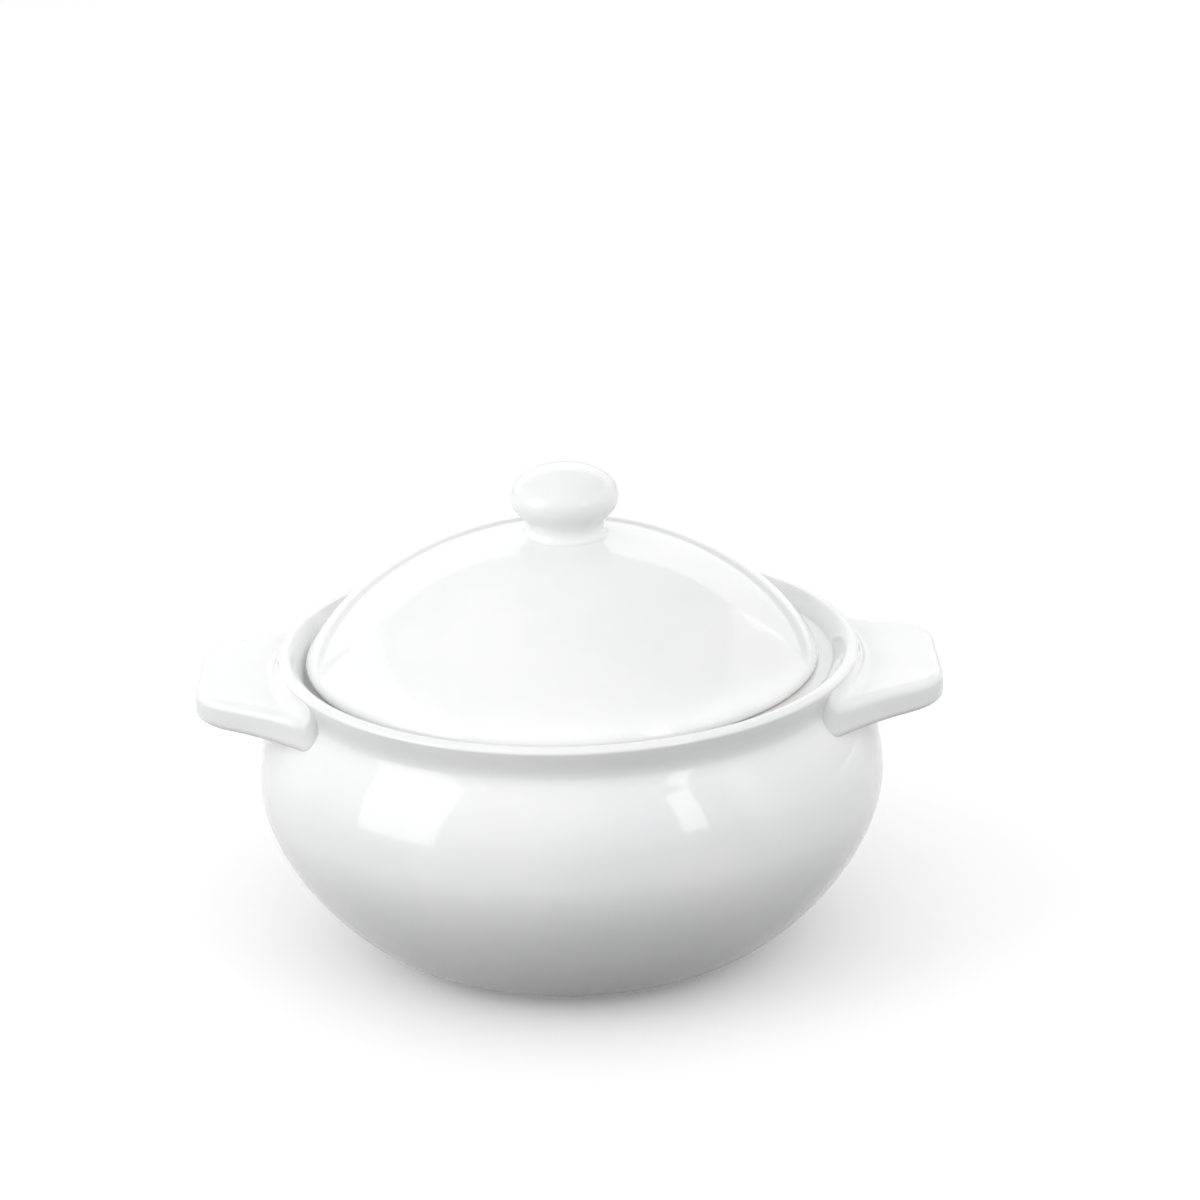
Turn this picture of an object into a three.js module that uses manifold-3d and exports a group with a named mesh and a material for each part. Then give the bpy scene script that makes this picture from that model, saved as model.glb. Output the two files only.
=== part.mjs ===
// Round porcelain baking dish: a bellied dish with a galleried rim, two lug handles, and a domed lid with a knob.
// Millimetres, +Z up. The origin is on the table under the middle of the dish, and the handles lie along X.
import * as THREE from "three";
import { mergeVertices } from "three/addons/utils/BufferGeometryUtils.js";
import Module from "manifold-3d";

const wasm = await Module();
wasm.setup();

// Dish: outside, from the foot up
const bellyRadius = 94.2;
const bellyHeight = 53.6;
const footRadius = 48;
const footWidth = 4.6;
const footHeight = 2;
const footEdge = 0.6;
const underCurve = { start: 1.8, sweep: 17, rise: 20.8 };
const shoulderCurve = { rise: 19.8, tuck: 4 };
const rimHeight = 92.8;
const neckInset = 9.6;
const neckDrop = 9;
const lipOverhang = 2.2;
const lipWidth = 5.8;
const lipCrown = 2.6;
const lipCurve = { rise: 2.6, tuck: 2 };

// Dish: inside, from the gallery that carries the lid down to the floor
const collarDraft = 0.8;
const ledgeDepth = 4;
const ledgeWidth = 8.4;
const ledgeThickness = 4.6;
const ledgeFillet = 1.2;
const wallThickness = 5.5;
const floorThickness = 6;
const floorRadius = 46;
const vaultCurve = { rise: 17, reach: 5 };
const bowlCurve = { sweep: 18, rise: 20 };

// Lug handles
const handleReach = 17.2;
const handleTipWidth = 47.6;
const handleFlare = 0.41;
const handleCorner = 11.5;
const handleDrop = 4.8;
const handleTipThickness = 8.6;
const handleThicken = 0.05;
const handleRise = 0.04;
const handleEdge = { top: 2.8, under: 2 };
const handleRootDepth = 14;
const handleSweep = { reach: 4.2, rise: 3.8 };
const handleSpread = 6;
const handleEnd = { side: 6.1, sideHalf: 41.6, corner: 10.2, cornerHalf: 44.6, rootHalf: 39.2 };

// Lid, with z counted from the face that sits on the ledge
const lidEdgeHeight = 2;
const lidEdgeRound = 0.8;
const domeRise = 38;
const domeCurve = { inset: 12.3, rise: 20.5, crown: 35.9 };
const lidWall = 4.2;
const haunchHeight = 4.5;
const domeInnerCurve = { inset: 5, rise: 15, crown: 34 };
const flangeDepth = 6;
const flangeWidth = 3.4;

// Knob, with z counted from the crown of the lid
const knobRadius = 16.3;
const knobHeight = 20.3;
const knobWaistHeight = 11.1;
const knobNeckRadius = 11.5;
const knobNeckHeight = 1.6;
const knobFlare = 0.9;
const knobOffset = 2;
const knobFootEdge = 0.4;
const knobCurve = { rise: 3.6, drop: 5 };
const knobWall = 5;
const ventRadius = 6;

// Fits
const lidEdgeClearance = 3.5;
const lidPlay = 3;
const lidRestGap = 1;
const seatGap = 0.3;
const lutingGap = 0.3;

// Facets round the axis, and along, round and across a lug
const roundFacets = 56;
const knobFacets = 32;
const lugFacets = { end: 4, side: 6, corner: 5, edge: 4, across: 6 };

// Radii and heights that follow from the sizes above
const neckRadius = bellyRadius - neckInset;
const neckHeight = rimHeight - neckDrop;
const lipRadius = neckRadius + lipOverhang;
const lipSide = rimHeight - lipCrown;
const mouthRadius = lipRadius - lipWidth;
const collarRadius = mouthRadius - collarDraft;
const ledgeHeight = rimHeight - ledgeDepth;
const throatRadius = collarRadius - ledgeWidth;
const lidRadius = collarRadius - lidEdgeClearance;
const flangeRadius = throatRadius - lidPlay;
const crownHeight = lidEdgeHeight + domeRise;
const handleTip = bellyRadius + handleReach;

const at = (radius, height) => new THREE.Vector2(radius, height);

// Points along a cubic curve in a profile, both ends included.
function bend(steps, from, fromPull, toPull, to) {
  return new THREE.CubicBezierCurve(from, fromPull, toPull, to).getPoints(steps);
}

// A rounded corner between two straight stretches that would meet at the corner point.
function corner(steps, from, point, to) {
  return new THREE.QuadraticBezierCurve(from, point, to).getPoints(steps);
}

// Points along part of an ellipse, with its angles in quarter turns.
function oval(steps, centre, halfWidth, halfHeight, fromQuarter, toQuarter) {
  const quarter = Math.PI / 2;
  const turns = [fromQuarter * quarter, toQuarter * quarter];
  const clockwise = toQuarter < fromQuarter;
  return new THREE.EllipseCurve(centre.x, centre.y, halfWidth, halfHeight, ...turns, clockwise).getPoints(steps);
}

// The profile as a solid of revolution about Z, without a second copy of a point that two stretches share.
function revolve(profile, facets) {
  const points = profile.filter((point, i) => i === 0 || point.distanceTo(profile[i - 1]) > 1e-6);
  return new THREE.LatheGeometry(points, facets).rotateX(Math.PI / 2);
}

function solidOf(geometry) {
  const bare = geometry.clone();
  bare.deleteAttribute("normal");
  bare.deleteAttribute("uv");
  const merged = mergeVertices(bare, 1e-4);
  const vertProperties = new Float32Array(merged.attributes.position.array);
  const triVerts = new Uint32Array(merged.index.array);
  return new wasm.Manifold(new wasm.Mesh({ numProp: 3, vertProperties, triVerts }));
}

function cut(blank, tool) {
  const { vertProperties, triVerts } = solidOf(blank).subtract(solidOf(tool)).getMesh();
  const geometry = new THREE.BufferGeometry();
  geometry.setAttribute("position", new THREE.BufferAttribute(vertProperties, 3));
  geometry.setIndex(new THREE.BufferAttribute(triVerts, 1));
  geometry.computeVertexNormals();
  return geometry;
}

// The foot ring's sole, the belly, the neck under the flared rim, and the outer half of the lip.
function dishOutside() {
  const underStart = at(footRadius + underCurve.start, footHeight);
  const belly = at(bellyRadius, bellyHeight);
  const neck = at(neckRadius, neckHeight);
  const lip = at(lipRadius, lipSide);
  return [
    at(footRadius - footEdge, 0),
    at(footRadius, footEdge),
    ...bend(
      10,
      underStart,
      at(underStart.x + underCurve.sweep, footHeight),
      at(bellyRadius, bellyHeight - underCurve.rise),
      belly,
    ),
    ...bend(
      9,
      belly,
      at(bellyRadius, bellyHeight + shoulderCurve.rise),
      at(neckRadius, neckHeight - shoulderCurve.tuck),
      neck,
    ),
    ...bend(5, neck, at(neckRadius, neckHeight + lipCurve.rise), at(lipRadius, lipSide - lipCurve.tuck), lip),
    ...oval(3, at(lipRadius - lipWidth / 2, lipSide), lipWidth / 2, lipCrown, 0, 1),
  ];
}

// The inner half of the lip, the gallery with its ledge, the vault under the ledge, and the bowl.
function dishInside() {
  const noseRound = ledgeThickness / 2;
  const noseCentre = at(throatRadius + noseRound, ledgeHeight - noseRound);
  const innerRadius = bellyRadius - wallThickness;
  const innerBelly = at(innerRadius, bellyHeight);
  const vaultEnd = at(noseCentre.x, ledgeHeight - ledgeThickness);
  const floorHeight = footHeight + floorThickness;
  return [
    ...oval(3, at(lipRadius - lipWidth / 2, lipSide), lipWidth / 2, lipCrown, 1, 2),
    ...corner(
      2,
      at(collarRadius, ledgeHeight + ledgeFillet),
      at(collarRadius, ledgeHeight),
      at(collarRadius - ledgeFillet, ledgeHeight),
    ),
    ...oval(4, noseCentre, noseRound, noseRound, 1, 3),
    ...bend(
      6,
      vaultEnd,
      at(vaultEnd.x + vaultCurve.reach, vaultEnd.y),
      at(innerRadius, bellyHeight + vaultCurve.rise),
      innerBelly,
    ),
    ...bend(
      8,
      innerBelly,
      at(innerRadius, bellyHeight - bowlCurve.rise),
      at(floorRadius + bowlCurve.sweep, floorHeight),
      at(floorRadius, floorHeight),
    ),
    at(0, floorHeight),
  ];
}

function dishGeometry() {
  const footInner = footRadius - footWidth;
  const sole = [at(0, footHeight), at(footInner - footEdge, footHeight), at(footInner + footEdge, 0)];
  return revolve([...sole, ...dishOutside(), ...dishInside()], roundFacets);
}

// The filled outside of the dish, grown by the width of the luted joint, that shapes a handle's root.
function dishPlug() {
  const grown = dishOutside().map((point) => at(point.x + lutingGap, point.y));
  return revolve([at(0, 0), ...grown, at(0, rimHeight)], roundFacets);
}

// Half of a lug's outline in plan, with the way out at each point: the rounded end at the neck, the side, the tip's corner.
function lugOutline() {
  const halfTip = handleTipWidth / 2;
  const along = handleCorner * Math.cos(Math.atan(handleFlare));
  const sideAt = (x) => at(x, halfTip + (handleTip - x) * handleFlare);
  const root = at(neckRadius - handleRootDepth, handleEnd.rootHalf);
  const endCorner = at(neckRadius - handleEnd.corner, handleEnd.cornerHalf);
  const sideEnd = at(neckRadius - handleEnd.side, handleEnd.sideHalf);
  const cornerStart = sideAt(handleTip - along);
  const cornerEnd = at(handleTip, halfTip - handleCorner);
  const outline = [
    ...corner(lugFacets.end, root, endCorner, sideEnd).slice(0, -1),
    ...corner(lugFacets.side, sideEnd, sideAt(bellyRadius - handleSpread), cornerStart).slice(0, -1),
    ...corner(lugFacets.corner, cornerStart, at(handleTip, halfTip), cornerEnd),
  ];
  return outline.map((point, i) => {
    const before = outline[Math.max(i - 1, 0)];
    const after = outline[i + 1] ?? at(handleTip, 0);
    const run = after.clone().sub(before).normalize();
    return { point, out: point === cornerEnd ? at(1, 0) : at(-run.y, run.x) };
  });
}

// Height of a point of the lug. Its top falls and it thickens towards the root, where the top sweeps up to the lip.
function lugHeight(x, y, depth) {
  const fromTip = handleTip - x;
  const fromLip = THREE.MathUtils.clamp((Math.hypot(x, y) - lipRadius) / handleSweep.reach, 0, 1);
  const sweep = handleSweep.rise * (1 - Math.sqrt(1 - (1 - fromLip) ** 2));
  const share = depth / handleTipThickness;
  const thickness = handleTipThickness + handleThicken * fromTip;
  return rimHeight - handleDrop - handleRise * fromTip - share * thickness + (1 - share) * sweep;
}

// A flat lug: its outline drawn in level by level round the edges, rows across its top and bottom, and a fan at its root.
function lugBlank() {
  const half = lugOutline();
  const { edge, across } = lugFacets;
  const spots = [];
  const triangles = [];
  const spot = (x, y, depth) => spots.push(x, y, lugHeight(x, y, depth)) / 3 - 1;
  const rowAcross = (x, halfWidth) =>
    Array.from({ length: across - 1 }, (_, k) => at(x, halfWidth * ((2 * (k + 1)) / across - 1)));
  const skin = (rows) => {
    for (let i = 1; i < rows.length; i++)
      for (let k = 1; k < rows[i].length; k++) {
        const [near, far] = [rows[i - 1], rows[i]];
        triangles.push(near[k - 1], far[k - 1], far[k], near[k - 1], far[k], near[k]);
      }
  };

  const rounded = (radius) =>
    Array.from({ length: edge + 1 }, (_, i) => {
      const turn = (Math.PI / 2) * (i / edge);
      return { inset: radius * (1 - Math.sin(turn)), depth: radius * (1 - Math.cos(turn)) };
    });
  const lower = rounded(handleEdge.under).map(({ inset, depth }) => ({ inset, depth: handleTipThickness - depth }));
  const rings = [...rounded(handleEdge.top), ...lower.reverse()].map(({ inset, depth }) => {
    const drawn = half.map(({ point, out }) => point.clone().addScaledVector(out, -inset));
    const tip = drawn.at(-1);
    const front = drawn.map((point) => at(point.x, -point.y));
    const whole = [...front, ...rowAcross(tip.x, tip.y), ...drawn.reverse()];
    return whole.map((point) => spot(point.x, point.y, depth));
  });
  skin(rings);

  const face = (ring, depth) =>
    half.map((_, i) => {
      if (i === half.length - 1) return ring.slice(i, i + across + 1);
      const [from, to] = [ring[i], ring.at(-1 - i)];
      const middle = rowAcross(spots[3 * to], spots[3 * to + 1]);
      return [from, ...middle.map((point) => spot(point.x, point.y, depth)), to];
    });
  const top = face(rings[0], 0);
  const bottom = face(rings.at(-1), handleTipThickness);
  skin(top);
  skin([...bottom].reverse());

  const farSide = rings.map((ring) => ring.at(-1));
  const nearSide = rings.map((ring) => ring[0]).reverse();
  const loop = [...top[0], ...farSide.slice(1), ...[...bottom[0]].reverse().slice(1), ...nearSide.slice(1)];
  const hub = spot(neckRadius - handleRootDepth, 0, handleTipThickness / 2);
  for (let i = 1; i < loop.length; i++) triangles.push(hub, loop[i - 1], loop[i]);

  const blank = new THREE.BufferGeometry();
  blank.setAttribute("position", new THREE.Float32BufferAttribute(spots, 3));
  blank.setIndex(triangles);
  return blank;
}

// The edge that stands on the ledge, with its lower and upper corners rounded, and the dome up to the crown.
function lidOutside() {
  const edgeTop = at(lidRadius, lidEdgeHeight);
  const domePull = at(lidRadius - domeCurve.inset, lidEdgeHeight + domeCurve.rise);
  const domeStart = domePull.clone().sub(edgeTop).setLength(lidEdgeRound).add(edgeTop);
  return [
    ...corner(2, at(lidRadius - lidEdgeRound, 0), at(lidRadius, 0), at(lidRadius, lidEdgeRound)),
    ...corner(2, at(lidRadius, lidEdgeHeight - lidEdgeRound), edgeTop, domeStart),
    ...bend(12, domeStart, domePull, at(domeCurve.crown, crownHeight), at(0, crownHeight)),
  ];
}

// Height of the dome's outside at a radius.
function domeHeight(radius) {
  const outside = lidOutside();
  const next = outside.findIndex((point) => point.y > lidEdgeHeight && point.x < radius);
  const [below, above] = [outside[next - 1], outside[next]];
  return THREE.MathUtils.mapLinear(radius, below.x, above.x, below.y, above.y);
}

// A domed shell with a rim that sits on the ledge and a flange below it that keeps the lid in the throat.
function lidGeometry() {
  const flangeInner = flangeRadius - flangeWidth;
  const haunch = at(flangeInner, haunchHeight);
  const innerCrown = crownHeight - lidWall;
  const flangeRound = flangeWidth / 2;
  const flangeMiddle = at(flangeRadius - flangeRound, flangeRound - flangeDepth);
  const inside = [
    ...bend(
      9,
      at(0, innerCrown),
      at(domeInnerCurve.crown, innerCrown),
      at(haunch.x - domeInnerCurve.inset, haunch.y + domeInnerCurve.rise),
      haunch,
    ),
    ...oval(4, flangeMiddle, flangeRound, flangeRound, 2, 4),
    at(flangeRadius, 0),
  ];
  const blank = revolve([...inside, ...lidOutside()], roundFacets);
  const vent = new THREE.CylinderGeometry(ventRadius, ventRadius, 4 * lidWall, knobFacets);
  vent.rotateX(Math.PI / 2);
  vent.translate(knobOffset, 0, crownHeight);
  return cut(blank, vent);
}

// A hollow mushroom knob on a short neck, whose foot flares out onto the crown of the lid.
// It was set on by hand, a little off the lid's axis.
function knobGeometry() {
  const waist = at(knobRadius, crownHeight + knobWaistHeight);
  const neck = at(knobNeckRadius, crownHeight + knobNeckHeight);
  const footReach = knobNeckRadius + knobFlare;
  const foot = at(footReach, domeHeight(footReach - knobOffset) + lutingGap + knobFootEdge);
  const root = crownHeight - lidWall / 2;
  const capHeight = knobHeight - knobWaistHeight;
  const hollowNeck = at(ventRadius, neck.y);
  const hollowWaist = at(knobRadius - knobWall, waist.y);
  const profile = [
    at(foot.x, root),
    ...bend(4, foot, at(neck.x, foot.y), at(neck.x, foot.y), neck),
    ...bend(6, neck, at(neck.x, neck.y + knobCurve.rise), at(waist.x, waist.y - knobCurve.drop), waist),
    ...oval(6, at(0, waist.y), knobRadius, capHeight, 0, 1),
    ...oval(4, at(0, waist.y), hollowWaist.x, capHeight - knobWall, 1, 0),
    ...bend(
      4,
      hollowWaist,
      at(hollowWaist.x, waist.y - knobCurve.drop),
      at(hollowNeck.x, neck.y + knobCurve.rise),
      hollowNeck,
    ),
    at(hollowNeck.x, root),
    at(foot.x, root),
  ];
  const crown = revolve([at(0, 0), ...lidOutside()], roundFacets).translate(0, 0, lutingGap);
  return cut(revolve(profile, knobFacets).translate(knobOffset, 0, 0), crown);
}

function porcelain(color, roughness) {
  return new THREE.MeshStandardMaterial({ color, roughness, metalness: 0 });
}

function piece(name, geometry, material) {
  const mesh = new THREE.Mesh(geometry, material);
  mesh.name = name;
  return mesh;
}

const dish = new THREE.Group();
dish.add(piece("dish_body", dishGeometry(), porcelain(0xf2f3f2, 0.1)));
const lug = cut(lugBlank(), dishPlug());
const rightHandle = piece("handle_right", lug, porcelain(0xf5f5f4, 0.1));
const leftHandle = piece("handle_left", lug, porcelain(0xf5f5f4, 0.1));
leftHandle.rotation.z = Math.PI;
dish.add(rightHandle, leftHandle);

// The lid lies where it was put down, slid in its play towards the left handle.
const lid = new THREE.Group();
lid.add(piece("lid", lidGeometry(), porcelain(0xf3f4f3, 0.1)));
lid.add(piece("lid_knob", knobGeometry(), porcelain(0xf4f4f3, 0.1)));
lid.position.set(lidRestGap - lidPlay, 0, ledgeHeight + seatGap);

const bakingDish = new THREE.Group();
bakingDish.add(dish, lid);

export default bakingDish;
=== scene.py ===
# Porcelain baking dish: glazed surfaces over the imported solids, studio light and the camera
from math import atan, cos, hypot, pi, radians, sin, sqrt
import bpy
from mathutils import Matrix, Vector


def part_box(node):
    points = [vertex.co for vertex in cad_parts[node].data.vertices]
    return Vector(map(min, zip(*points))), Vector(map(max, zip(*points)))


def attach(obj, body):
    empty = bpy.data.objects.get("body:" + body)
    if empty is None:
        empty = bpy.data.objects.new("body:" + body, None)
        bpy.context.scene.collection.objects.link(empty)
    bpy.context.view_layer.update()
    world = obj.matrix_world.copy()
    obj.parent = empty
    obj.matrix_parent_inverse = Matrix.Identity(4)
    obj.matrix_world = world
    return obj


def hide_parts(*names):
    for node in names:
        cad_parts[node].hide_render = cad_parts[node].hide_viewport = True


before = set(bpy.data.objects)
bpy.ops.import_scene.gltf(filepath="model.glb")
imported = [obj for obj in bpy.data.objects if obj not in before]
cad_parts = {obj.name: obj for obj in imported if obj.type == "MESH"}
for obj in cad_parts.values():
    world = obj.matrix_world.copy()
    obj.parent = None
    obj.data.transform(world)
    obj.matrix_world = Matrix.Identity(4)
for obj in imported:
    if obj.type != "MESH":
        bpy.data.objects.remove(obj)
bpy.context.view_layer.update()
mm = 0.001
tiny = 1e-6  # millimetres within which two points are one
sharpAngle = radians(50)  # edges that turn more than this stay sharp
pureWhite = (1, 1, 1, 1)
print("frame loaded")


def box(node):  # a node's corners in millimetres
    low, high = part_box(node)
    return [v / mm for v in low], [v / mm for v in high]


# Profiles are lists of (radius, height) in millimetres.
def bend(steps, start, startPull, endPull, end):
    points = []
    pulls = (start, startPull, endPull, end)
    for i in range(steps + 1):
        t = i / steps
        s = 1 - t
        weights = (s ** 3, 3 * s * s * t, 3 * s * t * t, t ** 3)
        points.append(tuple(sum(w * p[k] for w, p in zip(weights, pulls)) for k in (0, 1)))
    return points


def oval(steps, centre, halfWidth, halfHeight, fromQuarter, toQuarter):
    points = []
    for i in range(steps + 1):
        turn = (fromQuarter + (toQuarter - fromQuarter) * i / steps) * pi / 2
        points.append((centre[0] + halfWidth * cos(turn), centre[1] + halfHeight * sin(turn)))
    return points


def roundOff(steps, start, corner, end):  # a rounded corner between two straight stretches
    points = []
    pulls = (start, corner, end)
    for i in range(steps + 1):
        t = i / steps
        weights = ((1 - t) ** 2, 2 * t * (1 - t), t * t)
        points.append(tuple(sum(w * p[k] for w, p in zip(weights, pulls)) for k in (0, 1)))
    return points


def stations(start, end, steps):  # points strictly between two profile points, so long faces stay even
    return [tuple(start[k] + (end[k] - start[k]) * i / steps for k in (0, 1)) for i in range(1, steps)]


def revolve(profile, facets):  # a closed surface of revolution about Z
    pairs = zip(profile, profile[1:])
    kept = profile[:1] + [b for a, b in pairs if hypot(b[0] - a[0], b[1] - a[1]) > tiny]
    points = []
    rings = []
    for radius, height in kept:
        if radius < tiny:
            rings.append([len(points)] * facets)
            points.append((0, 0, height))
            continue
        rings.append(list(range(len(points), len(points) + facets)))
        for i in range(facets):
            turn = 2 * pi * i / facets
            points.append((radius * cos(turn), radius * sin(turn), height))
    faces = []
    for lower, upper in zip(rings, rings[1:]):
        for i in range(facets):
            j = (i + 1) % facets
            corners = [lower[i], lower[j], upper[j], upper[i]]
            faces.append(tuple(dict.fromkeys(corners)))
    return points, faces


def makePiece(name, shape, body, node, material, offset=(0, 0, 0)):
    points, faces = shape
    mesh = bpy.data.meshes.new(name)
    mesh.from_pydata([[(v + shift) * mm for v, shift in zip(p, offset)] for p in points], [], faces)
    mesh.validate()
    mesh.shade_smooth()
    mesh.set_sharp_from_angle(angle=sharpAngle)
    mesh.materials.append(material)
    piece = bpy.data.objects.new(name, mesh)
    bpy.context.scene.collection.objects.link(piece)
    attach(piece, body)
    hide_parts(node)
    print(name, "made,", len(faces), "faces")


# Camera
view = {
    "elevation": radians(20.25),
    "roll": radians(1.56),
    "distance": 1.2,
    "lens": 120,
    "frameSize": 1200,  # pixels of the photograph
    "rimCentrePixel": (568.5, 644.6),  # where the middle of the rim lies in it
}


def placeCamera():
    camera = bpy.data.objects.new("camera", bpy.data.cameras.new("camera"))
    camera.data.lens = view["lens"]
    rimCentre = Vector((0, 0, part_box("dish_body")[1][2]))
    rise, roll = view["elevation"], view["roll"]
    ahead = Vector((0, cos(rise), -sin(rise)))
    level, upright = Vector((1, 0, 0)), Vector((0, sin(rise), cos(rise)))
    right = cos(roll) * level - sin(roll) * upright
    up = sin(roll) * level + cos(roll) * upright
    pixel = view["distance"] * camera.data.sensor_width / (view["lens"] * view["frameSize"])
    middle = view["frameSize"] / 2
    column, row = view["rimCentrePixel"]
    location = rimCentre - view["distance"] * ahead
    target = rimCentre + (middle - column) * pixel * right + (row - middle) * pixel * up
    back = (location - target).normalized()
    side = up.cross(back).normalized()
    turn = Matrix((side, back.cross(side), back)).transposed()
    camera.matrix_world = Matrix.LocRotScale(location, turn.to_quaternion(), None)
    bpy.context.scene.collection.objects.link(camera)
    bpy.context.scene.camera = camera


placeCamera()
print("camera placed")


# Shader graphs
class Wire:
    def __init__(self, tree, socket=None):
        self.tree = tree
        self.socket = socket

    def node(self, kind, settings=None, inputs=None, output=0):
        made = self.tree.nodes.new(kind)
        for key, value in (settings or {}).items():
            setattr(made, key, value)
        for key, value in (inputs or {}).items():
            if isinstance(value, Wire):
                self.tree.links.new(value.socket, made.inputs[key])
            else:
                made.inputs[key].default_value = value
        return Wire(self.tree, made.outputs[output])

    def maths(self, operation, left, right):
        return self.node("ShaderNodeMath", {"operation": operation}, {0: left, 1: right})

    def __add__(self, other):
        return self.maths("ADD", self, other)

    def __radd__(self, other):
        return self.maths("ADD", other, self)

    def __sub__(self, other):
        return self.maths("SUBTRACT", self, other)

    def __rsub__(self, other):
        return self.maths("SUBTRACT", other, self)

    def __mul__(self, other):
        return self.maths("MULTIPLY", self, other)

    def __rmul__(self, other):
        return self.maths("MULTIPLY", other, self)

    def __pow__(self, other):
        return self.maths("POWER", self, other)

    def step(self, low, high):  # 0 below low and 1 above high, eased between them
        ends = {"Value": self, "From Min": low, "From Max": high}
        return self.node("ShaderNodeMapRange", {"interpolation_type": "SMOOTHSTEP"}, ends)

    def band(self, low, high, soft):  # 1 between low and high, fading over soft outside them
        return self.step(low - soft, low) * (1 - self.step(high, high + soft))

    def tint(self, plain, tinted):  # a colour that goes from plain to tinted as this mask rises
        return self.node("ShaderNodeMix", {"data_type": "RGBA"}, {0: self, 6: plain, 7: tinted}, 2)


def newMaterial(name):
    material = bpy.data.materials.new(name)
    material.use_nodes = True
    material.node_tree.nodes.clear()
    return material, Wire(material.node_tree)


def finishMaterial(start, surface):
    output = start.tree.nodes.new("ShaderNodeOutputMaterial")
    start.tree.links.new(surface.socket, output.inputs["Surface"])


# Porcelain
porcelain = {
    "white": (0.86, 0.865, 0.862, 1),
    "shade": (0.83, 0.838, 0.84, 1),
    "paintedShade": (0.70, 0.73, 0.735, 1),  # painted shade, a grey tint under the lip and round the knob's foot
    "bare": (0.80, 0.775, 0.735, 1),  # unglazed, slightly warm
    "speck": (0.30, 0.27, 0.24, 1),
    "depthWeight": 0.8,  # light goes a little way into the body
    "depthRadius": (1.0, 0.97, 0.92),
    "depthScale": 0.0005,  # metres
    "ior": 1.5,
    "gloss": 0.03,
    "mottleRoughness": 0.03,
    "bareRoughness": 0.62,
    "mottle": 26,  # noise scales, per metre
    "edgeNoise": 260,
    "grain": 2400,
    "waves": 34,
    "peel": 900,
    "specks": 62,
    "mottleRange": (0.35, 0.65),
    "edgeWander": 0.0012,  # how far the bare parts' edges wander, in metres
    "waveHeight": 0.00035,
    "peelHeight": 0.0000035,
    "grainHeight": 0.00002,
    "glazeHeight": 0.00012,  # what is missing where the body is bare
    "speckChosen": (0.93, 0.94),  # few cells have a speck
    "speckSize": 0.0032,
    "speckFade": 2.2,
    "speckTint": 0.7,
    # how strongly the painted shade is laid on
    "paintedShadeTint": 0.85,
    "bareTint": {"even": 0.8, "grain": 0.2},
}


def glaze(name, axis, shadeParts, bareParts):
    material, start = newMaterial(name)
    spot = start.node("ShaderNodeTexCoord", None, None, "Object")
    x, y, z = [start.node("ShaderNodeSeparateXYZ", None, {0: spot}, k) for k in range(3)]
    across = x - axis
    radius = (across * across + y * y) ** 0.5

    def noise(scale, detail=2.0, roughness=0.5):
        settings = {"Vector": spot, "Scale": scale, "Detail": detail, "Roughness": roughness}
        return start.node("ShaderNodeTexNoise", None, settings)

    mottle = noise(porcelain["mottle"], detail=3.0).step(*porcelain["mottleRange"])
    # where shade is painted: under the lip and round the knob's foot
    paintedShade = shadeParts(x, y, z, radius)
    wander = (noise(porcelain["edgeNoise"]) - 0.5) * porcelain["edgeWander"]
    bare = bareParts(z + wander, radius + wander)
    grain = noise(porcelain["grain"], detail=4.0, roughness=0.7)
    cell = start.node("ShaderNodeTexVoronoi", None, {"Vector": spot, "Scale": porcelain["specks"]})
    rare = start.node("ShaderNodeTexVoronoi", None, {"Vector": spot, "Scale": porcelain["specks"]}, "Color")
    chosen = start.node("ShaderNodeSeparateColor", None, {0: rare}).step(*porcelain["speckChosen"])
    speckEdge = porcelain["speckSize"] * porcelain["speckFade"]
    speck = (1 - cell.step(porcelain["speckSize"], speckEdge)) * chosen

    colour = mottle.tint(porcelain["white"], porcelain["shade"])
    # painted shade darkens the colour under the lip and round the knob's foot
    colour = (paintedShade * porcelain["paintedShadeTint"]).tint(colour, porcelain["paintedShade"])
    colour = (speck * porcelain["speckTint"]).tint(colour, porcelain["speck"])
    bareTint = porcelain["bareTint"]["even"] + porcelain["bareTint"]["grain"] * grain
    colour = (bare * bareTint).tint(colour, porcelain["bare"])
    glazed = porcelain["gloss"] + porcelain["mottleRoughness"] * mottle
    roughness = glazed + bare * (porcelain["bareRoughness"] - porcelain["gloss"])

    waves = porcelain["waveHeight"] * noise(porcelain["waves"], detail=1.0)
    peel = porcelain["peelHeight"] * noise(porcelain["peel"], detail=1.0)
    height = waves + peel + bare * (porcelain["grainHeight"] * grain - porcelain["glazeHeight"])
    bump = start.node("ShaderNodeBump", None, {"Height": height, "Strength": 1.0, "Distance": 1.0})
    surface = start.node("ShaderNodeBsdfPrincipled", None, {
        "Base Color": colour, "Roughness": roughness, "Normal": bump, "IOR": porcelain["ior"],
        "Subsurface Weight": porcelain["depthWeight"],
        "Subsurface Radius": porcelain["depthRadius"],
        "Subsurface Scale": porcelain["depthScale"],
    })
    finishMaterial(start, surface)
    return material


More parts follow.
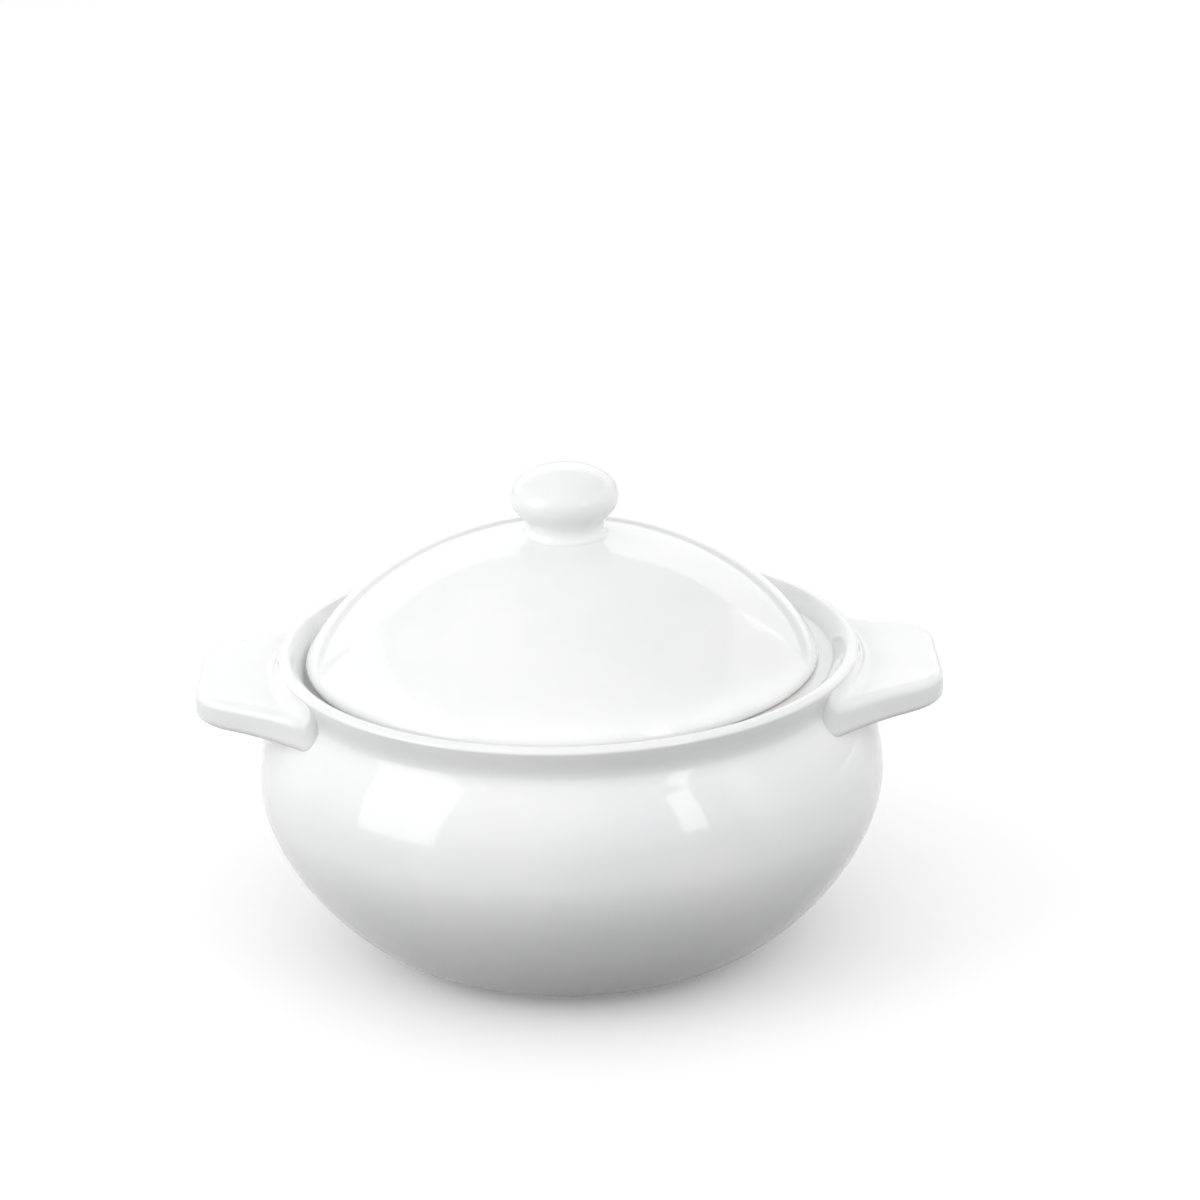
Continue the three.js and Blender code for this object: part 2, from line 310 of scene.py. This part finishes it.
# Dish
dish = {
    "bellyHeight": 53.6,
    "footRadius": 48,
    "footWidth": 4.6,
    "footHeight": 2,
    "footEdge": 0.6,
    "underCurve": {"start": 1.8, "sweep": 17, "rise": 20.8},
    "shoulderCurve": {"rise": 19.8, "tuck": 4},
    "neckInset": 9.6,
    "neckDrop": 9,
    "lipOverhang": 2.2,
    "lipWidth": 5.8,
    "lipCrown": 1.5,
    "lipEdge": 2.6,
    "lipRise": 0.6,  # glaze that stands on the lip
    "lipUnder": 0.14,  # how far the lip's round goes on below, in quarter turns
    "lipCurve": {"rise": 2.6, "tuck": 3.0, "lean": 0.75},
    "gutterCurve": {"crest": 1.5, "foot": 0.5},
    "collarDraft": 0.8,
    "ledgeDepth": 4,
    "ledgeWidth": 8.4,
    "ledgeThickness": 4.6,
    "ledgeFillet": 1.2,
    "wallThickness": 5.5,
    "floorThickness": 6,
    "floorRadius": 46,
    "vaultCurve": {"rise": 17, "reach": 5},
    "bowlCurve": {"sweep": 18, "rise": 20},
    "outsideSteps": {"foot": 4, "under": 56, "shoulder": 44, "flare": 16, "lip": 14},
    "insideSteps": {"gutter": 20, "ledge": 3, "nose": 12, "vault": 20, "bowl": 32, "floor": 6},
    "facets": 240,
}
dishHigh = box("dish_body")[1]
bellyRadius = dishHigh[1]
rimHeight = dishHigh[2]
neckRadius = bellyRadius - dish["neckInset"]
neckHeight = rimHeight - dish["neckDrop"]
lipRadius = neckRadius + dish["lipOverhang"]
crestHeight = rimHeight + dish["lipRise"]
lipSide = crestHeight - dish["lipCrown"]
lipMiddle = (lipRadius - dish["lipEdge"], lipSide)
collarRadius = lipRadius - dish["lipWidth"] - dish["collarDraft"]
ledgeHeight = rimHeight - dish["ledgeDepth"]
throatRadius = collarRadius - dish["ledgeWidth"]


def dishOutside():
    under, shoulder, lip = dish["underCurve"], dish["shoulderCurve"], dish["lipCurve"]
    foot, footEdge, footHeight = dish["footRadius"], dish["footEdge"], dish["footHeight"]
    steps = dish["outsideSteps"]
    underStart = (foot + under["start"], footHeight)
    belly = (bellyRadius, dish["bellyHeight"])
    neck = (neckRadius, neckHeight)
    lipRound = oval(steps["lip"], lipMiddle, dish["lipEdge"], dish["lipCrown"], -dish["lipUnder"], 1)
    underPulls = (underStart[0] + under["sweep"], footHeight), (bellyRadius, belly[1] - under["rise"])
    shoulderPulls = (bellyRadius, belly[1] + shoulder["rise"]), (neckRadius, neckHeight - shoulder["tuck"])
    lipStart = lipRound[0]
    lipPulls = (neckRadius, neckHeight + lip["rise"]), (lipStart[0] - lip["lean"], lipStart[1] - lip["tuck"])
    return (
        roundOff(steps["foot"], (foot - footEdge, 0), (foot, 0), (foot, footEdge))
        + roundOff(steps["foot"], (foot, footHeight - footEdge), (foot, footHeight), underStart)
        + bend(steps["under"], underStart, *underPulls, belly)
        + bend(steps["shoulder"], belly, *shoulderPulls, neck)
        + bend(steps["flare"], neck, *lipPulls, lipStart)
        + lipRound
    )


def dishInside():
    vault, bowl, gutter = dish["vaultCurve"], dish["bowlCurve"], dish["gutterCurve"]
    steps = dish["insideSteps"]
    noseRound = dish["ledgeThickness"] / 2
    nose = (throatRadius + noseRound, ledgeHeight - noseRound)
    innerRadius = bellyRadius - dish["wallThickness"]
    innerBelly = (innerRadius, dish["bellyHeight"])
    vaultEnd = (nose[0], ledgeHeight - dish["ledgeThickness"])
    floorHeight = dish["footHeight"] + dish["floorThickness"]
    floorEdge = (dish["floorRadius"], floorHeight)
    crest = (lipMiddle[0], crestHeight)
    gutterFoot = (collarRadius - dish["ledgeFillet"], ledgeHeight)
    gutterPulls = (crest[0] - gutter["crest"], crestHeight), (gutterFoot[0] + gutter["foot"], ledgeHeight)
    vaultPulls = (nose[0] + vault["reach"], vaultEnd[1]), (innerRadius, innerBelly[1] + vault["rise"])
    bowlPulls = (innerRadius, innerBelly[1] - bowl["rise"]), (floorEdge[0] + bowl["sweep"], floorHeight)
    return (
        bend(steps["gutter"], crest, *gutterPulls, gutterFoot)
        + stations(gutterFoot, (nose[0], ledgeHeight), steps["ledge"])
        + oval(steps["nose"], nose, noseRound, noseRound, 1, 3)
        + bend(steps["vault"], vaultEnd, *vaultPulls, innerBelly)
        + bend(steps["bowl"], innerBelly, *bowlPulls, floorEdge)
        + stations(floorEdge, (0, floorHeight), steps["floor"])
        + [(0, floorHeight)]
    )


def dishShape():
    inner = dish["footRadius"] - dish["footWidth"]
    edge, height = dish["footEdge"], dish["footHeight"]
    flatEnd, cornerStart = inner - 3 * edge, inner - 2 * edge
    edgeSteps, flatSteps = dish["outsideSteps"]["foot"], dish["insideSteps"]["floor"]
    sole = (
        [(0, height)]
        + stations((0, height), (flatEnd, height), flatSteps)
        + roundOff(edgeSteps, (cornerStart, height), (inner, height), (inner, height / 2))
        + roundOff(edgeSteps, (inner, height / 2), (inner, 0), (inner + edge, 0))
    )
    return revolve(sole + dishOutside() + dishInside(), dish["facets"])


# Lug handles
handle = {
    "tipWidth": 47.6,
    "flare": 0.41,  # how much each side widens per millimetre towards the dish
    "corner": 11.5,
    "drop": 4.8,  # of the tip's top below the rim
    "tipThickness": 8.6,
    "thicken": 0.05,  # per millimetre towards the dish
    "rise": 0.04,  # of the top per millimetre towards the tip
    "edge": {"top": 2.8, "under": 2},
    "rootDepth": 1,  # how far it goes into the neck
    "sweepReach": 4.2,  # where the top turns up to the lip
    "spread": 6,  # the sides spread towards the neck, where the end rounds in
    "end": {  # depth inside the neck's radius and half width
        "side": (6.1, 41.6),
        "corner": (10.2, 44.6),
        "root": (14, 39.2),
    },
    "endSteps": 28,
    "sideSteps": 44,
    "cornerSteps": 12,
    "acrossSteps": 20,
    "edgeSteps": 10,
}
handleTip = box("handle_right")[1][0]


def handlePlan():  # half outline from the root to the middle of the tip, with its outward normals
    halfTip = handle["tipWidth"] / 2
    pullX = bellyRadius - handle["spread"]
    startX = handleTip - handle["corner"] * cos(atan(handle["flare"]))
    pull, start = [(x, halfTip + (handleTip - x) * handle["flare"]) for x in (pullX, startX)]
    sideEnd, endCorner, root = [(neckRadius - depth, width) for depth, width in handle["end"].values()]
    tipEnd = (handleTip, halfTip - handle["corner"])
    outline = (
        roundOff(handle["endSteps"], root, endCorner, sideEnd)[:-1]
        + roundOff(handle["sideSteps"], sideEnd, pull, start)[:-1]
        + roundOff(handle["cornerSteps"], start, (handleTip, halfTip), tipEnd)
    )
    outline = [p for p in outline if hypot(*p) > neckRadius - handle["rootDepth"]]
    normals = []
    for i in range(len(outline)):
        before, after = outline[max(i - 1, 0)], outline[min(i + 1, len(outline) - 1)]
        dx, dy = after[0] - before[0], after[1] - before[1]
        length = hypot(dx, dy)
        normals.append((-dy / length, dx / length))
    normals[-1] = (1, 0)
    return outline, normals


def handleShape(turned):
    outline, normals = handlePlan()
    edges, across = handle["edge"], handle["acrossSteps"]

    def lift(x, y, depth):  # the lug falls and thickens towards its root and sweeps up to the lip
        fromTip = handleTip - x
        fromLip = min(max((hypot(x, y) - lipRadius) / handle["sweepReach"], 0), 1)
        top = rimHeight - handle["drop"] - handle["rise"] * fromTip
        sweep = (lipSide - top) * (1 - sqrt(1 - (1 - fromLip) ** 2))
        share = depth / handle["tipThickness"]
        thickness = handle["tipThickness"] + handle["thicken"] * fromTip
        return top - share * thickness + (1 - share) * sweep

    def ring(inset, depth):  # the outline drawn in by inset, from one end of the root to the other
        half = [(p[0] - inset * n[0], p[1] - inset * n[1]) for p, n in zip(outline, normals)]
        tipEnd = half[-1]
        end = [(tipEnd[0], tipEnd[1] * (1 - 2 * i / across)) for i in range(1, across)]
        whole = [(x, -y) for x, y in half + end] + half[::-1]
        return [(x, y, lift(x, y, depth)) for x, y in whole]

    def rounded(radius):  # how far in and how deep the steps of a rounded edge lie
        turns = [pi / 2 * i / handle["edgeSteps"] for i in range(handle["edgeSteps"] + 1)]
        return [(radius * (1 - sin(turn)), radius * (1 - cos(turn))) for turn in turns]

    thickness = handle["tipThickness"]
    under = [(inset, thickness - depth) for inset, depth in reversed(rounded(edges["under"]))]
    levels = rounded(edges["top"]) + under
    rings = [ring(*level) for level in levels]
    count = len(rings[0])
    points = [p for each in rings for p in each]
    faces = []
    for level in range(len(rings) - 1):
        for i in range(count - 1):
            a, b = level * count + i, level * count + i + 1
            faces.append((a, a + count, b + count, b))

    half = len(outline)

    def row(level, i):  # points across the lug, on an arc beside the neck and straight at the tip
        base, depth = level * count, levels[level][1]
        rootX, rootY = points[base + count - 1][:2]
        x, halfWidth = points[base + count - 1 - i][:2]
        nearness = 1 - (x - rootX) / (points[base + half][0] - rootX)
        made = [base + i]
        for k in range(1, across):
            share = 2 * k / across - 1
            bulge = sqrt(rootX ** 2 + rootY ** 2 * (1 - share ** 2)) - rootX
            px, py = x + nearness * bulge, halfWidth * share
            made.append(len(points))
            points.append((px, py, lift(px, py, depth)))
        return made + [base + count - 1 - i]

    def sheet(rows):
        for near, far in zip(rows, rows[1:]):
            for k in range(across):
                faces.append((near[k], far[k], far[k + 1], near[k + 1]))

    bottom = len(rings) - 1
    topRows, underRows = [[row(level, i) for i in range(half - 1)] for level in (0, bottom)]
    rootRows = [row(level, 0) for level in range(bottom - 1, 0, -1)]
    topTip, underTip = [[base + half - 1 + k for k in range(across + 1)] for base in (0, bottom * count)]
    sheet(topRows + [topTip])
    sheet([underTip] + underRows[::-1])
    sheet([underRows[0]] + rootRows + [topRows[0]])
    if turned:
        points = [(-x, -y, z) for x, y, z in points]
    return points, faces


# Lid
lid = {
    "edgeHeight": 2,
    "edgeRound": 0.5,
    "edgeSoft": 2.2,  # how far up the dome its edge is rounded
    "domeRise": 38,
    "domeCurve": {"inset": 12.3, "rise": 20.5, "crown": 35.9},
    "wall": 4.2,
    "haunchHeight": 4.5,
    "innerCurve": {"inset": 5, "rise": 15, "crown": 34},
    "flangeDepth": 6,
    "flangeWidth": 3.4,
    "play": 3,
    "ventRadius": 6,
    "ventBlend": 4,  # how far round the vent the lid is drawn over to the knob
    "steps": {"edge": 6, "dome": 64, "vent": 4, "inside": 40, "flange": 12, "flangeSide": 4, "seat": 4},
    "facets": 240,
}
lidLow, lidHigh = box("lid")
lidRadius = lidHigh[1]
lidAxis = (lidLow[0] + lidHigh[0]) / 2
lidSeat = lidLow[2] + lid["flangeDepth"]
crownHeight = lid["edgeHeight"] + lid["domeRise"]
# How far the dome falls near its crown, per radius squared
crownBow = (lid["domeRise"] - lid["domeCurve"]["rise"]) / (3 * lid["domeCurve"]["crown"] ** 2)
flangeRadius = throatRadius - lid["play"]


def lidDome():
    curve, edgeRound, steps = lid["domeCurve"], lid["edgeRound"], lid["steps"]
    edgeTop = (lidRadius, lid["edgeHeight"])
    pull = (lidRadius - curve["inset"], lid["edgeHeight"] + curve["rise"])
    reach = lid["edgeSoft"] / hypot(pull[0] - edgeTop[0], pull[1] - edgeTop[1])
    domeStart = tuple(edgeTop[k] + (pull[k] - edgeTop[k]) * reach for k in (0, 1))
    return (
        roundOff(steps["edge"], (lidRadius - edgeRound, 0), (lidRadius, 0), (lidRadius, edgeRound))
        + roundOff(steps["edge"], (lidRadius, lid["edgeHeight"] - edgeRound), edgeTop, domeStart)
        + bend(steps["dome"], domeStart, pull, (curve["crown"], crownHeight), (0, crownHeight))
    )


def lidShape():
    curve, vent, steps = lid["innerCurve"], lid["ventRadius"], lid["steps"]
    flangeInner = flangeRadius - lid["flangeWidth"]
    haunch = (flangeInner, lid["haunchHeight"])
    innerCrown = crownHeight - lid["wall"]
    flangeRound = lid["flangeWidth"] / 2
    flangeMiddle = (flangeRadius - flangeRound, flangeRound - lid["flangeDepth"])
    pulls = (curve["crown"], innerCrown), (haunch[0] - curve["inset"], haunch[1] + curve["rise"])
    inside = [p for p in bend(steps["inside"], (0, innerCrown), *pulls, haunch) if p[0] > vent]
    outside = [p for p in lidDome() if p[0] > vent]
    lowVent, highVent = (vent, inside[0][1]), (vent, outside[-1][1])
    profile = (
        [lowVent]
        + inside
        + stations(haunch, (flangeInner, flangeMiddle[1]), steps["flangeSide"])
        + oval(steps["flange"], flangeMiddle, flangeRound, flangeRound, 2, 4)
        + stations((flangeRadius, flangeMiddle[1]), (flangeRadius, 0), steps["flangeSide"] - 1)
        + [(flangeRadius, 0)]
        + stations((flangeRadius, 0), (lidRadius - lid["edgeRound"], 0), steps["seat"])
        + outside
        + [highVent]
        + stations(highVent, lowVent, steps["vent"])
        + [lowVent]
    )
    points, faces = revolve(profile, lid["facets"])
    moved = []
    for x, y, z in points:  # the vent lies under the knob
        nearness = max(1 - (hypot(x, y) - vent) / lid["ventBlend"], 0)
        moved.append((x + knob["offset"] * nearness, y, z))
    return moved, faces


# Knob
knob = {
    "radius": 16.3,
    "height": 20.3,
    "waistHeight": 11.1,
    "neckRadius": 11.5,
    "neckHeight": 1.6,
    "foot": {"spread": 1.8, "sink": 0.12, "reach": 1.3, "rise": 1.1},  # the slip that runs out onto the lid
    "offset": 2,  # set on by hand, a little off the lid's axis
    "curve": {"rise": 3.6, "drop": 5},
    "wall": 5,
    "hollowPlay": 0.3,  # how much wider than the vent its hollow starts
    "steps": {"sole": 4, "slip": 16, "neck": 28, "cap": 32, "hollowCap": 20, "hollowNeck": 16},
    "facets": 160,
}


def knobShape():
    waist = (knob["radius"], crownHeight + knob["waistHeight"])
    neck = (knob["neckRadius"], crownHeight + knob["neckHeight"])
    slip, curve, steps = knob["foot"], knob["curve"], knob["steps"]
    footRadius = neck[0] + slip["spread"]
    foot = (footRadius, crownHeight - crownBow * footRadius ** 2 - slip["sink"])
    slipRise = 2 * crownBow * footRadius * slip["reach"]
    slipPulls = (footRadius - slip["reach"], foot[1] + slipRise), (neck[0], neck[1] - slip["rise"])
    capHeight = knob["height"] - knob["waistHeight"]
    pulls = (neck[0], neck[1] + curve["rise"]), (waist[0], waist[1] - curve["drop"])
    throat = (lid["ventRadius"] + knob["hollowPlay"], neck[1])
    root = (throat[0], foot[1])
    hollow = (knob["radius"] - knob["wall"], waist[1])
    hollowPulls = (hollow[0], hollow[1] - curve["drop"]), (throat[0], throat[1] + curve["rise"])
    profile = (
        [root]
        + stations(root, foot, steps["sole"])
        + bend(steps["slip"], foot, *slipPulls, neck)
        + bend(steps["neck"], neck, *pulls, waist)
        + oval(steps["cap"], (0, waist[1]), knob["radius"], capHeight, 0, 1)
        + oval(steps["hollowCap"], (0, waist[1]), hollow[0], capHeight - knob["wall"], 1, 0)
        + bend(steps["hollowNeck"], hollow, *hollowPulls, throat)
        + [root]
    )
    points, faces = revolve(profile, knob["facets"])
    draped = []
    for x, y, z in points:  # the foot follows the lid, whose crown lies to one side
        share = min(max((neck[1] - z) / (neck[1] - foot[1]), 0), 1)
        draped.append((x, y, z - share * crownBow * knob["offset"] * (2 * x + knob["offset"])))
    return draped, faces


# Where shade is painted into the glaze and where the glaze is wiped off, in millimetres
dishShadeAndBare = {
    "groove": {"half": 1.5, "fade": 3, "radii": (82.5, 83.2), "strength": 0.2},  # painted shade in the groove under the lip
    "bareSole": (0.4, 0.8),
}
lidShadeAndBare = {
    # painted shade in a ring round the knob's foot
    "slip": {"below": 1, "above": 1.5, "heightFade": 2, "radii": (11.2, 12.8), "fade": 2, "strength": 0.12},
    "bareSeat": {"heights": (0.3, 0.9), "radii": (65.5, 66)},  # heights above the seat
}


def metres(*lengths):
    return [length * mm for length in lengths]


# painted shade in the groove under the lip
def dishPaintedShade(x, y, z, radius):
    groove = dishShadeAndBare["groove"]
    level = z.band(*metres(neckHeight - groove["half"], neckHeight + groove["half"], groove["fade"]))
    return level * radius.step(*metres(*groove["radii"])) * groove["strength"]


def dishBare(z, radius):
    return 1 - z.step(*metres(*dishShadeAndBare["bareSole"]))


# painted shade round the knob's foot
def lidPaintedShade(x, y, z, radius):
    slip = lidShadeAndBare["slip"]
    fromKnob = x - (lidAxis + knob["offset"]) * mm
    aroundKnob = (fromKnob * fromKnob + y * y) ** 0.5
    crown = lidSeat + crownHeight
    level = z.band(*metres(crown - slip["below"], crown + slip["above"], slip["heightFade"]))
    return level * aroundKnob.band(*metres(*slip["radii"], slip["fade"])) * slip["strength"]


def lidBare(z, radius):
    seat = lidShadeAndBare["bareSeat"]
    low = 1 - z.step(*metres(*[lidSeat + height for height in seat["heights"]]))
    return low * radius.step(*metres(*seat["radii"]))


dishGlaze = glaze("dishGlaze", 0.0, dishPaintedShade, dishBare)
lidGlaze = glaze("lidGlaze", lidAxis * mm, lidPaintedShade, lidBare)
print("glazes made")

makePiece("dishBody", dishShape(), "dish", "dish_body", dishGlaze)
makePiece("handleRight", handleShape(False), "dish", "handle_right", dishGlaze)
makePiece("handleLeft", handleShape(True), "dish", "handle_left", dishGlaze)
lidPlace = (lidAxis, 0, lidSeat)
makePiece("lidDome", lidShape(), "lid", "lid", lidGlaze, lidPlace)
knobPlace = (lidAxis + knob["offset"], 0, lidSeat)
makePiece("lidKnob", knobShape(), "lid", "lid_knob", lidGlaze, knobPlace)


# Floor and lamps
studio = {
    "floorSize": 12.0,
    "floorBounce": (0.03, 0.03, 0.03, 1),  # how it lights the dish
    "floorPale": (0.94, 0.94, 0.94, 1),  # how it looks, in the picture and in the glaze
    "floorGlow": 0.13,
    "lampDistance": 1.4,
    "lampAim": 0.07,  # height that the lamps point at
}
# A light's turn is left or right of the camera's side, and its height is up, in degrees.
softLights = {  # broad lights that fade into each other: turn, height, strength
    "frontLeft": (-45, 8, 1.18),
    "frontRight": (45, 8, 1.01),
    "aboveRight": (45, 35, 0.49),
    "left": (-90, 8, 0.30),
    "back": (180, 32, 0.92),
}
lamps = {  # sizes in metres
    "leftPanel": {"turn": -90, "height": 12, "size": (2.35, 1.4), "power": 6.8},
    "leftBox": {"turn": -64, "height": 18, "size": (0.8, 1.1), "power": 5.0},
    "rightPanel": {"turn": 100, "height": 12, "size": (2.0, 1.4), "power": 5.8},
    "backBox": {"turn": 180, "height": 22, "size": (2.6, 0.75), "power": 4.2},
    "rightStrip": {"turn": 43, "height": 21, "size": (0.22, 0.70), "power": 1.3},
}


def towards(turn, height):  # the way to a light
    turn, height = radians(turn), radians(height)
    return Vector((sin(turn) * cos(height), -cos(turn) * cos(height), sin(height)))


def placeLamp(name, lamp):
    data = bpy.data.lights.new(name, "AREA")
    data.shape = "RECTANGLE"
    data.size, data.size_y = lamp["size"]
    data.energy = lamp["power"]
    made = bpy.data.objects.new(name, data)
    away = towards(lamp["turn"], lamp["height"])
    made.location = Vector((0, 0, studio["lampAim"])) + away * studio["lampDistance"]
    made.rotation_euler = away.to_track_quat("Z", "Y").to_euler()
    made.visible_camera = False
    bpy.context.scene.collection.objects.link(made)


def shownRays(start):  # 1 for what is seen in the picture, in the glaze or through glass
    names = ("Is Camera Ray", "Is Glossy Ray", "Is Transmission Ray")
    camera, glossy, through = [start.node("ShaderNodeLightPath", None, None, name) for name in names]
    return start.maths("MAXIMUM", start.maths("MAXIMUM", camera, glossy), through)


def makeFloor():
    half = studio["floorSize"] / 2
    mesh = bpy.data.meshes.new("floor")
    corners = [(-half, -half, 0), (half, -half, 0), (half, half, 0), (-half, half, 0)]
    mesh.from_pydata(corners, [], [(0, 1, 2, 3)])
    floor = bpy.data.objects.new("floor", mesh)
    bpy.context.scene.collection.objects.link(floor)
    material, start = newMaterial("floorWhite")
    shown = shownRays(start)
    bounce = start.node("ShaderNodeBsdfDiffuse", None, {"Color": studio["floorBounce"]})
    pale = start.node("ShaderNodeBsdfDiffuse", None, {"Color": studio["floorPale"]})
    glow = start.node("ShaderNodeEmission", None, {"Color": pureWhite, "Strength": studio["floorGlow"]})
    both = start.node("ShaderNodeAddShader", None, {0: pale, 1: glow})
    finishMaterial(start, start.node("ShaderNodeMixShader", None, {0: shown, 1: bounce, 2: both}))
    mesh.materials.append(material)


def makeWorld():
    world = bpy.data.worlds.new("studio")
    bpy.context.scene.world = world
    world.use_nodes = True
    world.node_tree.nodes.clear()
    start = Wire(world.node_tree)
    way = start.node("ShaderNodeTexCoord", None, None, "Generated")
    x, y, z = [start.node("ShaderNodeSeparateXYZ", None, {0: way}, k) for k in range(3)]
    brightness = 0.0
    for turn, height, strength in softLights.values():
        lit = towards(turn, height)
        facing = start.maths("MAXIMUM", lit.x * x + lit.y * y + lit.z * z, 0.0)
        brightness = strength * facing * facing + brightness
    light = start.node("ShaderNodeBackground", None, {"Color": pureWhite, "Strength": brightness})
    output = world.node_tree.nodes.new("ShaderNodeOutputWorld")
    world.node_tree.links.new(light.socket, output.inputs["Surface"])


makeFloor()
makeWorld()
for name, lamp in lamps.items():
    placeLamp(name, lamp)
bpy.context.scene.view_settings.view_transform = "Standard"
print("studio lit")
